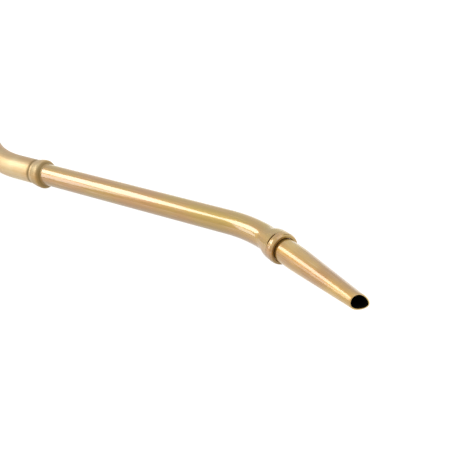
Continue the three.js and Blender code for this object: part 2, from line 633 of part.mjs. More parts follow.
// Slotted thimble that catches grit.
const slots = steps(0, 3, 3).map((i) => block(-178 + i * 5.4, -175 + i * 5.4, -9, 9, -2.2, 2.2));
place('inlet_strainer', cut(
  turned([[-184, 5.9], [-184, 7.2], [-182.5, 7.2], [-182.5, 6.8], [-156, 6.2], [-154.5, 5], [-154.5, 0],
    [-155.6, 0], [-156.6, 5.2], [-182, 5.9]], SMALL_ROUND),
  ...slots, ...slots.map((slot) => slot.clone().rotateX(Math.PI / 2)),
), 'steel', barrel);

// ---------- the nozzle stands with its box centred over the origin ----------
const box = new THREE.Box3().setFromObject(nozzle, true);
nozzle.position.set(-(box.min.x + box.max.x) / 2, -(box.min.y + box.max.y) / 2, -box.min.z);

export default nozzle;
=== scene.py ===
import json
import math
import bpy
import bmesh
import numpy as np
from mathutils import Matrix, Vector

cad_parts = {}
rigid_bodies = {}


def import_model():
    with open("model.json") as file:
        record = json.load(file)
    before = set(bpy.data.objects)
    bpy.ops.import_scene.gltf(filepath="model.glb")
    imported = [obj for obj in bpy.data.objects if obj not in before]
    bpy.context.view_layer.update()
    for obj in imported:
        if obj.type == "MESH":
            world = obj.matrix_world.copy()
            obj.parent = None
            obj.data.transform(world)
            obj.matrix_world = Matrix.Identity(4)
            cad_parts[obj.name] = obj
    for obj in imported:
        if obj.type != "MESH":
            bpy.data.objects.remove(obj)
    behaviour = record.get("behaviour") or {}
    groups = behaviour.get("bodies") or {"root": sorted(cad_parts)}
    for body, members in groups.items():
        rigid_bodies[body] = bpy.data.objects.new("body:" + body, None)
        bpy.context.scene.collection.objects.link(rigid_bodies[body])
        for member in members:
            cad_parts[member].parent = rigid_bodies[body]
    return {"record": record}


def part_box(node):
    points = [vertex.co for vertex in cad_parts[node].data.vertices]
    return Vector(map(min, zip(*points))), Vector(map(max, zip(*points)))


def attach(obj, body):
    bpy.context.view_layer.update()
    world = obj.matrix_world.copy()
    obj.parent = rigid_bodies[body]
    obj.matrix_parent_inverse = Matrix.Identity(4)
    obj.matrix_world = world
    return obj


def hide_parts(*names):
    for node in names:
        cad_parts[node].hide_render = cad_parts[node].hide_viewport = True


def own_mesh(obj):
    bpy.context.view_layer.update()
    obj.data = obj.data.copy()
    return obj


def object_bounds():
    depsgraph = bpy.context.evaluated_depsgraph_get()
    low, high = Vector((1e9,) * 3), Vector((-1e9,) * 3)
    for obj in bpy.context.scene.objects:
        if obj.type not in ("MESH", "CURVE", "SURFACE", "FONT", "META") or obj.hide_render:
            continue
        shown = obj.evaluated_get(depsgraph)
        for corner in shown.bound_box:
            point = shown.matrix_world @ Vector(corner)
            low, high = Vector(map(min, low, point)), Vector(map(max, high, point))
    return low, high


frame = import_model()
CAD_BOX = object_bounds()

# ---------------------------------------------------------------- sizes, in millimetres
MM = 0.001
FACETS = 96  # round a tube
TUBE_R, TUBE_BORE = 8.0, 7.0
TUBE_LENGTH, TUBE_INSERT = 182.5, 14.0
BEND_R, BEND_ANGLE, BEND_TAIL = 124.0, math.radians(18.5), 1.0
BELL_R, BELL_LENGTH = 10.2, 8.6
NOSE_R, NOSE_BORE, NOSE_END = 9.0, 7.6, 10.4
COLLAR_R, COLLAR_LENGTH, LIP_R, LIP_BORE = 10.3, 14.4, 9.65, 8.1
LIP_BACK = 12.9  # inner shoulder of the lock ring, from the flare
FLANGE = 11.6, 12.6  # the tip's flange, from the flare
SPIGOT_START, SPIGOT_R, SPIGOT_BORE = 6.6, 7.3, 6.4
TIP_LENGTH, TIP_STRAIGHT, TIP_BASE_R, TIP_WALL = 75.0, 15.0, 7.8, 0.75
MOUTH_WIDE, MOUTH_NARROW, MOUTH_ROLL, MOUTH_EGG = 7.75, 4.8, -0.8, 0.24
NECK_R, NECK_BORE = 9.2, 8.3
NECK_FRONT, NECK_STRAIGHT, NECK_BEND_R, NECK_BEND = -5.1, 26.3, 105.0, math.radians(26)
RING_LENGTH = 8.0
GAP = 0.3
TOP_ANGLE = math.radians(40)  # round the spout, the side that faces up and away from the bend


def centre_of(node):
    low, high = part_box(node)
    return (np.array(low) + np.array(high)) / 2


# Where the main axes lie, from the frame.
ring_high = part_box("bead_ring")[1]
RING_FACE = Vector((ring_high[0], centre_of("bead_ring")[1], centre_of("bead_ring")[2]))
VALVE_AXIS_X = centre_of("valve_stem")[0]
OUTLET_Y = centre_of("union_nut")[1]
BARREL_Y = centre_of("grip_sleeve")[1]
MID_Z = RING_FACE.z
UNION_X = (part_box("union_nut")[1][0] - RING_FACE.x) / MM  # front of the union nut, from the ring's face

SCALE = Matrix.Diagonal((MM, MM, MM, 1))
SPOUT = Matrix.Translation(RING_FACE) @ SCALE
OUTLET = Matrix.Translation((RING_FACE.x, OUTLET_Y, MID_Z)) @ SCALE
VALVE = Matrix.Translation((VALVE_AXIS_X, OUTLET_Y, MID_Z)) @ SCALE
BARREL = Matrix.Translation((VALVE_AXIS_X, BARREL_Y, MID_Z)) @ SCALE
ALONG_Y = Matrix.Rotation(math.pi / 2, 4, "Z")
ALONG_Z = Matrix.Rotation(-math.pi / 2, 4, "Y")


# ---------------------------------------------------------------- camera, floor and light
LENS = 86.65
CAMERA_AT = (622.6, -385.7, 385.0)  # from the bead ring's front face
CAMERA_LOOKS = (143.3, 29.8, -33.6)
CAMERA_ROLL = math.radians(-17.6)


def make_camera():
    data = bpy.data.cameras.new("camera")
    data.lens = LENS
    data.sensor_width = 36
    camera = bpy.data.objects.new("camera", data)
    bpy.context.collection.objects.link(camera)
    at, looks = SPOUT @ Vector(CAMERA_AT), SPOUT @ Vector(CAMERA_LOOKS)
    turn = (looks - at).to_track_quat("-Z", "Y").to_matrix().to_4x4()
    camera.matrix_world = Matrix.Translation(at) @ turn @ Matrix.Rotation(CAMERA_ROLL, 4, "Z")
    bpy.context.scene.camera = camera


def softbox(name, direction, distance, size, radiance):
    """A rectangular area light that faces the spout's middle."""
    target = SPOUT @ Vector((120, 0, 0))
    data = bpy.data.lights.new(name, "AREA")
    data.shape = "RECTANGLE"
    data.size, data.size_y = size
    data.energy = radiance * math.pi * size[0] * size[1]
    light = bpy.data.objects.new(name, data)
    bpy.context.collection.objects.link(light)
    towards = Vector(direction).normalized()
    light.matrix_world = (Matrix.Translation(target + towards * distance)
                          @ towards.to_track_quat("Z", "Y").to_matrix().to_4x4())


def make_studio():
    world = bpy.data.worlds.new("studio")
    bpy.context.scene.world = world
    world.use_nodes = True
    nodes, links = world.node_tree.nodes, world.node_tree.links
    coords = nodes.new("ShaderNodeTexCoord")
    split = nodes.new("ShaderNodeSeparateXYZ")
    ramp = nodes.new("ShaderNodeValToRGB")
    links.new(coords.outputs["Generated"], split.inputs[0])
    links.new(split.outputs["Z"], ramp.inputs[0])
    links.new(ramp.outputs[0], nodes["Background"].inputs["Color"])
    stops = ramp.color_ramp.elements
    stops[0].position, stops[0].color = 0.0, (0.70, 0.70, 0.69, 1)
    stops[1].position, stops[1].color = 1.0, (0.95, 0.95, 0.94, 1)
    middle = stops.new(0.35)
    middle.color = (0.82, 0.82, 0.81, 1)
    nodes["Background"].inputs["Strength"].default_value = 1.0

    softbox("key", (-0.735, -0.282, 0.6165), 1.3, (0.66, 0.41), 4.7)
    softbox("side", (-0.800, -0.540, 0.260), 1.3, (0.30, 0.45), 2.6)
    softbox("top", (0.1, 0.35, 1.0), 1.6, (1.6, 1.2), 0.6)

    floor_mesh = bpy.data.meshes.new("floor")
    half = 20.0
    floor_mesh.from_pydata([(-half, -half, 0), (half, -half, 0), (half, half, 0), (-half, half, 0)],
                           [], [(0, 1, 2, 3)])
    floor = bpy.data.objects.new("floor", floor_mesh)
    floor.location.z = CAD_BOX[0][2] - 0.0002
    bpy.context.collection.objects.link(floor)
    paper = bpy.data.materials.new("floor_paper")
    paper.use_nodes = True
    shader = paper.node_tree.nodes["Principled BSDF"]
    shader.inputs["Base Color"].default_value = (0.30, 0.30, 0.30, 1)
    shader.inputs["Roughness"].default_value = 0.9
    shader.inputs["Specular IOR Level"].default_value = 0.0
    shader.inputs["Emission Color"].default_value = (1, 1, 0.995, 1)
    shader.inputs["Emission Strength"].default_value = 0.85
    floor_mesh.materials.append(paper)
    bpy.context.scene.view_settings.view_transform = "Standard"


make_camera()
make_studio()


# ---------------------------------------------------------------- materials
class Graph:
    """A short way to write a node graph."""

    def __init__(self, name):
        self.material = bpy.data.materials.new(name)
        self.material.use_nodes = True
        self.tree = self.material.node_tree
        self.shader = self.tree.nodes["Principled BSDF"]

    def node(self, kind, inputs=None, **settings):
        made = self.tree.nodes.new("ShaderNode" + kind)
        for key, value in settings.items():
            setattr(made, key, value)
        for key, value in (inputs or {}).items():
            self.feed(made, key, value)
        return made

    def feed(self, target, key, value):
        if isinstance(value, bpy.types.NodeSocket):
            self.tree.links.new(value, target.inputs[key])
        else:
            target.inputs[key].default_value = value

    def set(self, **values):
        for key, value in values.items():
            self.feed(self.shader, key.replace("_", " "), value)

    def grain(self, scale):
        """Straightened coordinates of the piece, in metres: along, and two across."""
        coords = self.node("Attribute", attribute_name="grain").outputs["Vector"]
        return self.node("Mapping", {"Vector": coords, "Scale": scale}).outputs[0]

    def noise(self, vector, scale=1.0, detail=3.0, rough=0.55):
        made = self.node("TexNoise", {"Vector": vector, "Scale": scale, "Detail": detail, "Roughness": rough})
        return made.outputs["Fac"]

    def ramp(self, value, *stops):
        """Stops are (position, colour or grey)."""
        made = self.node("ValToRGB", {"Fac": value})
        elements = made.color_ramp.elements
        for i, (position, colour) in enumerate(stops):
            element = elements[i] if i < 2 else elements.new(position)
            element.position = position
            grey = isinstance(colour, (int, float))
            element.color = (colour, colour, colour, 1) if grey else (*colour, 1)
        return made.outputs[0]

    def math(self, operation, a, b=0.0):
        return self.node("Math", {0: a, 1: b}, operation=operation).outputs[0]

    def mix(self, share, a, b, blend="MIX"):
        made = self.node("Mix", data_type="RGBA", blend_type=blend)
        for socket, value in ((made.inputs[0], share), (made.inputs[6], a), (made.inputs[7], b)):
            if isinstance(value, bpy.types.NodeSocket):
                self.tree.links.new(value, socket)
            else:
                socket.default_value = value if isinstance(value, float) else (*value, 1)
        return made.outputs[2]

    def bump(self, height, distance, strength=1.0, normal=None):
        made = self.node("Bump", {"Height": height, "Distance": distance, "Strength": strength})
        if normal is not None:
            self.feed(made, "Normal", normal)
        return made.outputs[0]


def satin_brass(name="satin_brass", coat_rough=0.085, base=(0.40, 0.268, 0.038), metal=0.82, coat=1.0,
                under=1.0):
    """Drawn brass brushed lengthways: streaks along the piece, faint copper clouds, hairline scratches,
    brighter worn edges, painted light on the upper side, browner painted shade on the underside, and painted
    shade in crevices and recesses. under lightens the painted shade on the lowest side."""
    g = Graph(name)
    streak = g.noise(g.grain((18, 900, 900)), detail=4.0)
    fine = g.noise(g.grain((60, 4200, 4200)), detail=2.0)
    cloud = g.noise(g.grain((26, 60, 60)), detail=2.0)
    colour = g.mix(g.ramp(cloud, (0.38, 0.0), (0.66, 1.0)), base, (0.42, 0.222, 0.070))
    colour = g.mix(g.math("MULTIPLY", g.ramp(streak, (0.35, 0.0), (0.7, 1.0)), 0.35), colour,
                   (0.47, 0.325, 0.10))
    # Painted light and shade: each tube's upper side is painted lighter, and its underside darker and
    # browner.
    upper = g.node("Attribute", attribute_name="upper").outputs["Fac"]
    low = g.math("SUBTRACT", 0.5, g.math("MULTIPLY", upper, 0.5))
    side = g.ramp(low, (0.0, (1.0, 1.0, 0.9)), (0.17, (0.72, 0.69, 0.62)), (0.6, (0.72, 0.68, 0.50)),
                  (0.78, (0.72, 0.62, 0.34)), (0.9, [under * c for c in (0.52, 0.45, 0.18)]),
                  (1.0, [under * c for c in (0.44, 0.39, 0.18)]))
    lift = 1.43  # brings the ramp's greys back to about 1
    colour = g.mix(1.0, colour, g.mix(1.0, side, (lift, lift, lift), "MULTIPLY"), "MULTIPLY")
    scratch = g.ramp(g.noise(g.grain((35, 2600, 2600)), detail=0.0), (0.70, 0.0), (0.74, 1.0))
    colour = g.mix(g.math("MULTIPLY", scratch, 0.3), colour, (0.72, 0.53, 0.31))
    # Painted shade: browner where ambient occlusion finds crevices and recesses.
    crevice = g.node("AmbientOcclusion", {"Distance": 0.0022}, samples=8).outputs["AO"]
    colour = g.mix(g.ramp(crevice, (0.25, 1.0), (0.8, 0.0)), colour, (0.42, 0.23, 0.06))
    edge = g.ramp(g.node("NewGeometry").outputs["Pointiness"], (0.53, 0.0), (0.60, 1.0))
    colour = g.mix(g.math("MULTIPLY", edge, 0.5), colour, (0.70, 0.50, 0.28))
    # Shade painted per piece into coves, notches and recesses; the coat is taken away there too.
    tarnish = g.node("Attribute", attribute_name="tarnish").outputs["Fac"]
    colour = g.mix(tarnish, colour, (0.20, 0.125, 0.035))
    rough = g.math("ADD", g.math("MULTIPLY", streak, 0.10), g.math("MULTIPLY", fine, 0.06))
    g.set(Base_Color=colour, Metallic=metal, Roughness=g.math("ADD", rough, 0.38))
    weight = g.math("MULTIPLY", g.math("SUBTRACT", 1.0, tarnish),
                    g.ramp(low, (0.6, coat), (0.95, 0.75 * coat)))
    g.set(Coat_Weight=weight, Coat_IOR=1.9, Coat_Roughness=coat_rough)
    height = g.math("ADD", g.math("MULTIPLY", streak, 0.6), g.math("MULTIPLY", fine, 0.4))
    g.set(Normal=g.bump(height, 0.00004, 0.25))
    return g.material


def painted_bore_shade():
    """Painted shade: near-black, faintly mottled, for the insides of bores and recesses where shade falls."""
    g = Graph("painted_bore_shade")
    mottle = g.noise(g.grain((80, 300, 300)))
    g.set(Base_Color=g.ramp(mottle, (0.3, (0.004, 0.0035, 0.003)), (0.8, (0.012, 0.009, 0.006))),
          Metallic=0.0, Roughness=0.85)
    g.set(Specular_IOR_Level=0.1)
    return g.material


def cast_brass():
    """Sand-cast brass, tumbled: fine grain, soft pits and a browner tone."""
    g = Graph("cast_brass")
    coords = g.node("TexCoord").outputs["Object"]
    sand = g.noise(coords, 1500.0, 4.0, 0.6)
    lumps = g.noise(coords, 180.0, 3.0)
    cloud = g.noise(coords, 28.0, 3.0)
    colour = g.mix(g.ramp(cloud, (0.35, 0.0), (0.68, 1.0)), (0.50, 0.32, 0.145), (0.40, 0.235, 0.105))
    pits = g.ramp(sand, (0.34, 1.0), (0.42, 0.0))
    colour = g.mix(g.math("MULTIPLY", pits, 0.5), colour, (0.20, 0.115, 0.05))
    # Painted shade: much darker where ambient occlusion finds crevices.
    crevice = g.node("AmbientOcclusion", {"Distance": 0.006}, samples=8).outputs["AO"]
    colour = g.mix(g.ramp(crevice, (0.3, 0.8), (0.85, 0.0)), colour, (0.13, 0.07, 0.03))
    edge = g.ramp(g.node("NewGeometry").outputs["Pointiness"], (0.52, 0.0), (0.58, 1.0))
    colour = g.mix(g.math("MULTIPLY", edge, 0.55), colour, (0.66, 0.46, 0.24))
    g.set(Base_Color=colour, Metallic=1.0,
          Roughness=g.math("ADD", g.math("MULTIPLY", sand, 0.28), 0.24))
    g.set(Normal=g.bump(sand, 0.00012, 0.5, g.bump(lumps, 0.0005, 0.25)))
    return g.material


def steel():
    g = Graph("steel")
    coords = g.node("TexCoord").outputs["Object"]
    grind = g.noise(g.node("Mapping", {"Vector": coords, "Scale": (300, 300, 3500)}).outputs[0], 1.0, 3.0)
    stain = g.noise(coords, 160.0, 3.0)
    colour = g.mix(g.ramp(stain, (0.4, 0.0), (0.75, 1.0)), (0.58, 0.57, 0.55), (0.44, 0.42, 0.39))
    edge = g.ramp(g.node("NewGeometry").outputs["Pointiness"], (0.52, 0.0), (0.6, 1.0))
    colour = g.mix(g.math("MULTIPLY", edge, 0.5), colour, (0.76, 0.75, 0.74))
    g.set(Base_Color=colour, Metallic=1.0, Roughness=g.math("ADD", g.math("MULTIPLY", grind, 0.25), 0.2))
    g.set(Normal=g.bump(grind, 0.00005, 0.3))
    return g.material


def rubber(name, dark, light, grain_scale):
    g = Graph(name)
    coords = g.node("TexCoord").outputs["Object"]
    skin = g.noise(coords, grain_scale, 4.0, 0.65)
    dust = g.noise(coords, 45.0, 4.0)
    colour = g.mix(g.ramp(dust, (0.42, 0.0), (0.78, 1.0)), dark, light)
    g.set(Base_Color=colour, Roughness=g.math("ADD", g.math("MULTIPLY", skin, 0.25), 0.5))
    g.set(Normal=g.bump(skin, 0.00012, 0.5), Specular_IOR_Level=0.4)
    return g.material


MATERIALS = {
    "satin_brass": satin_brass(),
    "dull_brass": satin_brass("dull_brass", 0.45, (0.46, 0.37, 0.22), metal=0.6, coat=0.5),
    # Painted light: the tip's brass is a paler copy of the satin brass, and under=1.4 paints its lowest side
    # lighter.
    "pale_brass": satin_brass("pale_brass", 0.15, (0.60, 0.43, 0.13), metal=0.75, under=1.4),
    "painted_bore_shade": painted_bore_shade(),
    "cast_brass": cast_brass(),
    "steel": steel(),
    "rubber": rubber("rubber", (0.018, 0.018, 0.019), (0.045, 0.043, 0.040), 900.0),
    "gasket": rubber("gasket", (0.085, 0.078, 0.068), (0.15, 0.14, 0.12), 1400.0),
    "grip": rubber("grip", (0.022, 0.023, 0.025), (0.055, 0.053, 0.050), 1100.0),
}


# ---------------------------------------------------------------- outlines and surfaces
def rounded(outline, radius=0.25, steps=4):
    """Rounds the corners of an outline of (along, radius[, own rounding]) points."""
    points = [np.array(p[:2], float) for p in outline]
    own = [p[2] if len(p) > 2 else radius for p in outline]
    made = []
    for i, here in enumerate(points):
        a, b = points[i - 1] - here, points[(i + 1) % len(points)] - here
        length_a, length_b = np.linalg.norm(a), np.linalg.norm(b)
        reach = min(own[i], 0.45 * length_a, 0.45 * length_b)
        if reach < 1e-6 or here[1] < 1e-6:
            made.append(here)
            continue
        start, end = here + a / length_a * reach, here + b / length_b * reach
        for t in np.linspace(0, 1, steps + 1):
            made.append((1 - t) ** 2 * start + 2 * t * (1 - t) * here + t * t * end)
    return made


def with_steps(points, step):
    """Adds points so that no stretch is longer than step."""
    made = []
    for i, here in enumerate(points):
        after = points[(i + 1) % len(points)]
        count = max(1, math.ceil(np.linalg.norm(after - here) / step))
        made += [here + (after - here) * k / count for k in range(count)]
    return made


def straight(s):
    return np.array([s, 0.0]), np.array([0.0, 1.0])


def centreline(start, heading, stretches):
    """A chain of straight stretches and arcs in the XY plane, each (length, radius or None, turn)."""
    def at(s):
        x, y = start
        angle, left = heading, s
        for i, (length, radius, turn) in enumerate(stretches):
            used = left if i == len(stretches) - 1 else min(left, length)
            left -= used
            if radius is None or used < 0:
                x += used * math.cos(angle)
                y += used * math.sin(angle)
            else:
                new = angle + turn * used / radius
                x += radius / turn * (math.sin(new) - math.sin(angle))
                y -= radius / turn * (math.cos(new) - math.cos(angle))
                angle = new
        return np.array([x, y]), np.array([-math.sin(angle), math.cos(angle)])
    return at


def surface(outline, path=straight, section=None, facets=FACETS, step=4.0, flats=None, dark=None, warp=None,
            tarnish=None):
    """A closed outline carried round a path. Returns points, faces, grain and, for each face, whether
    dark(s, r) says that it lies in the bore, where the painted bore shade goes. warp(s, r, angles) gives how
    far each point of a station moves along and outwards. A last function of (s, r, angles) gives how much
    shade is painted into a crevice or recess. A row of the grain holds the straightened point, how far up on
    the tube it lies, from -1 to 1, and its painted shade."""
    area = sum(p[1] * q[0] - q[1] * p[0] for p, q in zip(outline, outline[1:] + outline[:1]))
    stations = with_steps(outline if area > 0 else outline[::-1], step)
    angles = np.arange(facets) * 2 * math.pi / facets
    points, grain = [], []
    for s, r in stations:
        centre, normal = path(s)
        wide, narrow, roll, egg = section(s, r) if section else (r, r, 0.0, 0.0)
        reach = np.ones(facets)
        if flats and r > flats / 2:
            corner = flats / math.sqrt(3)
            flat = flats / 2 / np.cos(np.mod(angles, math.pi / 3) - math.pi / 6)
            reach = np.minimum(np.minimum(flat, 0.985 * corner), r) / r
        a, b = wide * reach * np.cos(angles), narrow * reach * np.sin(angles) * (1 - egg * np.cos(angles))
        across = a * math.cos(roll) - b * math.sin(roll)
        up = a * math.sin(roll) + b * math.cos(roll)
        ahead = np.zeros(facets)
        if warp:
            ahead, outwards = warp(s, r, angles)
            across, up = across * (1 + outwards / r), up * (1 + outwards / r)
        points += [(centre[0] + normal[0] * p + normal[1] * t, centre[1] + normal[1] * p - normal[0] * t, q)
                   for p, q, t in zip(across, up, ahead)]
        # How far up round the tube a point lies, which the brass uses for painted light on top and painted
        # shade below.
        upper = np.cos(angles - TOP_ANGLE)
        shade_row = np.broadcast_to(tarnish(s, r, angles) if tarnish else 0.0, facets)
        grain += [(s, *rest) for rest in zip(across, up, upper, shade_row)]
    faces, in_bore = [], []
    count = len(stations)
    for i in range(count):
        j = (i + 1) % count
        middle = (stations[i] + stations[j]) / 2
        for k in range(facets):
            n = (k + 1) % facets
            faces.append((i * facets + k, i * facets + n, j * facets + n, j * facets + k))
            in_bore.append(bool(dark and dark(*middle)))
    return points, faces, grain, in_bore


def to_object(name, points, faces, matrix, slot, grain=None, in_bore=None, sharp=32):
    """A mesh in place, in metres, with its material and its straightened coordinates."""
    mesh = bpy.data.meshes.new(name)
    mesh.from_pydata([matrix @ Vector(p) for p in points], [], faces)
    mesh.materials.append(MATERIALS[slot])
    # Faces in a bore or recess take the near-black painted bore shade.
    if in_bore and any(in_bore):
        mesh.materials.append(MATERIALS["painted_bore_shade"])
        mesh.polygons.foreach_set("material_index", [int(b) for b in in_bore])
    kept = mesh.attributes.new("grain", "FLOAT_VECTOR", "POINT")
    values = np.array(grain if grain is not None else points, float)
    kept.data.foreach_set("vector", (values[:, :3] * MM).ravel())
    if values.shape[1] == 5:
        # Column 3 drives the brass's painted light on top and painted shade below; column 4 is shade painted
        # into crevices and recesses.
        for column, key in ((3, "upper"), (4, "tarnish")):
            mesh.attributes.new(key, "FLOAT", "POINT").data.foreach_set("value", values[:, column].copy())
    piece = bpy.data.objects.new(name, mesh)
    bpy.context.collection.objects.link(piece)
    work = bmesh.new()
    work.from_mesh(mesh)
    bmesh.ops.remove_doubles(work, verts=work.verts, dist=1e-7)
    bmesh.ops.recalc_face_normals(work, faces=work.faces)
    work.to_mesh(mesh)
    work.free()
    mesh.polygons.foreach_set("use_smooth", [True] * len(mesh.polygons))
    mesh.set_sharp_from_angle(angle=math.radians(sharp))
    return piece


BODY_OF = {node: body for body, nodes in frame["record"]["behaviour"]["bodies"].items() for node in nodes}


def stand_for(piece, node):
    """The piece takes the place of one CAD node."""
    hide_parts(node)
    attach(piece, BODY_OF[node])
    return piece


def turned(node, outline, matrix, slot="satin_brass", radius=0.25, look=None, **options):
    shape = surface(rounded(outline, radius), **options)
    piece = to_object(node + "_fine", shape[0], shape[1], matrix, look or slot, shape[2], shape[3])
    return stand_for(piece, node)


# ---------------------------------------------------------------- spout
bend_length = BEND_R * BEND_ANGLE
bend_start = TUBE_INSERT + TUBE_LENGTH
flare = bend_start + bend_length + BEND_TAIL
spout_line = centreline((-TUBE_INSERT, 0), 0, [
    (bend_start, None, 1), (bend_length, BEND_R, -1), (BEND_TAIL + COLLAR_LENGTH, None, 1)])
front_centre, _ = spout_line(flare)
FRONT = SPOUT @ Matrix.Translation((*front_centre, 0)) @ Matrix.Rotation(-BEND_ANGLE, 4, "Z")


SLIT = BELL_LENGTH, BELL_LENGTH + 0.6  # the CAD's slit between bell and lock ring, from the flare
SLOT_AT, SLOT_HALF = 114, 20  # where the slit stays open, in degrees
BELL_OUTER = math.radians(125)  # the outer side of the bend, where the bell opens slowly
BELL_LEAD = 6  # and how far behind the flare it starts there
NOTCH = 13.3, 13.7  # a wrench notch behind the lip, from the flare
NOTCH_AT, NOTCH_HALF = 57, 13  # degrees


def window(angles, middle, half):
    """1 inside half degrees from the middle and 0 outside, with a soft edge."""
    soft = 6
    away = np.abs(np.mod(np.degrees(angles) - middle + 180, 360) - 180)
    return np.clip((half + soft - away) / (2 * soft), 0, 1)


def slot_opening(angles):
    """1 where the slit is open, facing up and outwards, and 0 round the rest of it."""
    return window(angles, SLOT_AT, SLOT_HALF)


def bell_warp(s, r, angles):
    """Brings the bell's end close to the ring, except at the slot, and opens the bell slowly on the outer
    side of the bend."""
    closed, opened = 0.42, -0.10  # how far ahead the end lies, beside the slot and at it
    at_end = s > flare + SLIT[0] - 0.6 and r > NOSE_R + 0.4
    ahead = np.where(at_end, closed + (opened - closed) * slot_opening(angles), 0.0)
    outer = np.clip(-0.1 + 1.1 * np.cos(angles - BELL_OUTER), 0, 1)
    share = min(1.0, max(0.0, (s - flare + BELL_LEAD) / (BELL_LEAD + BELL_LENGTH)))
    slow = TUBE_R + (BELL_R - TUBE_R) * share ** 1.2
    on_end_face = s > flare + BELL_LENGTH - 0.05 and r < BELL_R - 0.3
    on_bell = s > flare - BELL_LEAD and r > TUBE_R - 0.01 and not on_end_face
    return ahead, np.where(on_bell, (slow - r) * outer, 0.0)


def ring_warp(s, r, angles):
    """Opens the slot from the ring's side and sinks the notch."""
    at_back = s < SLIT[1] + 0.5 and r > NOSE_R + 0.5
    in_notch = NOTCH[0] < s < NOTCH[1] and r > NOSE_R
    return (np.where(at_back, 0.35 * slot_opening(angles), 0.0),
            np.where(in_notch, -0.5 * window(angles, NOTCH_AT, NOTCH_HALF), 0.0))


def make_spout_tube():
    bead = TUBE_INSERT - 4.2
    outline = [
        (0, TUBE_R, 0.4), (bead - 0.6, TUBE_R), (bead, 9.0, 0.5), (bead + 1, 9.0, 0.5), (bead + 1.3, TUBE_R),
        (flare - 2.2, TUBE_R, 2.2), (flare + 2.9, BELL_R - 0.25, 1.9),
        (flare + BELL_LENGTH - 1.2, BELL_R, 1.0), (flare + BELL_LENGTH, BELL_R - 0.05, 0.2),
        (flare + BELL_LENGTH, NOSE_R, 0.05),
        (flare + NOSE_END, NOSE_R), (flare + NOSE_END, NOSE_BORE), (flare + 5.6, NOSE_BORE),
        (flare + 4.6, TUBE_BORE), (0, TUBE_BORE),
    ]
    # The nose's outside, in the gap inside the lock ring, takes the painted bore shade.
    turned("spout_tube", outline, SPOUT, radius=0.2, path=spout_line, step=1.5, warp=bell_warp,
           dark=lambda s, r: s > flare + BELL_LENGTH - 0.1 and NOSE_R - 0.05 < r < NOSE_R + 0.05)


def make_lock_ring():
    back = SLIT[1]
    groove = back + 1.6
    notch_back, notch_front = NOTCH
    outline = [
        (back, NOSE_R + GAP), (back, COLLAR_R - 0.05, 0.2), (groove - 0.2, COLLAR_R, 0.12),
        (groove, COLLAR_R - 0.06, 0.1), (groove + 0.2, COLLAR_R, 0.12), (12.6, COLLAR_R - 0.05, 0.9),
        (notch_back - 0.02, 10.05, 0.02), (notch_back + 0.02, 10.03, 0.02),
        (notch_front - 0.02, 9.93, 0.02), (notch_front + 0.02, 9.91, 0.02),
        (COLLAR_LENGTH, LIP_R, 0.3), (COLLAR_LENGTH, LIP_BORE, 0.2), (LIP_BACK, LIP_BORE),
        (LIP_BACK, NOSE_R + GAP),
    ]
    # Shade is painted into the notch and, lighter, onto the lip's front face.
    turned("lock_ring", outline, FRONT, radius=0.1, step=1.0, warp=ring_warp,
           tarnish=lambda s, r, angles: (0.9 * window(angles, NOTCH_AT, NOTCH_HALF)
                                         if NOTCH[0] < s < NOTCH[1] else 0.3 * (s > COLLAR_LENGTH - 0.02)))


TIP_END = COLLAR_LENGTH + TIP_LENGTH
TAPER_FROM = COLLAR_LENGTH + TIP_STRAIGHT


def tip_section(s, r):
    """r runs from the base radius; the cross-section narrows into the pinched mouth."""
    share = max(0.0, (s - TAPER_FROM) / (TIP_END - TAPER_FROM))
    drop = TIP_BASE_R - r
    wide = TIP_BASE_R + (MOUTH_WIDE - TIP_BASE_R) * share - drop
    narrow = TIP_BASE_R + (MOUTH_NARROW - TIP_BASE_R) * share - drop
    return wide, narrow, MOUTH_ROLL, MOUTH_EGG * share


def make_tip():
    shoulder = COLLAR_LENGTH + 1.9
    bore = TIP_BASE_R - TIP_WALL
    outline = [
        (SPIGOT_START, SPIGOT_R), (FLANGE[0], SPIGOT_R), (FLANGE[0], NOSE_R), (FLANGE[1], NOSE_R),
        (FLANGE[1], SPIGOT_R), (shoulder - 0.9, SPIGOT_R, 0.3), (shoulder, TIP_BASE_R, 0.5),
        (TIP_END, TIP_BASE_R, 0.3), (TIP_END, bore, 0.25), (shoulder, bore), (shoulder - 0.8, SPIGOT_BORE),
        (SPIGOT_START, SPIGOT_BORE),
    ]

    def outside_neck(s, r, end):
        return FLANGE[1] < s < end and r > SPIGOT_R - 0.3

    # The tip's bores take the painted bore shade, and light painted shade lies on the neck inside the lock
    # ring's recess.
    turned("spout_tip", outline, FRONT, radius=0.12, section=tip_section, step=3.0, look="pale_brass",
           dark=lambda s, r: s < TIP_END - 0.25 and r < bore + 0.12 and not outside_neck(s, r, shoulder),
           tarnish=lambda s, r, _: 0.2 * outside_neck(s, r, shoulder - 0.6))


make_spout_tube()
make_lock_ring()
make_tip()


# ---------------------------------------------------------------- rear tube, bead ring and union
TAIL_SEAT = UNION_X - 14


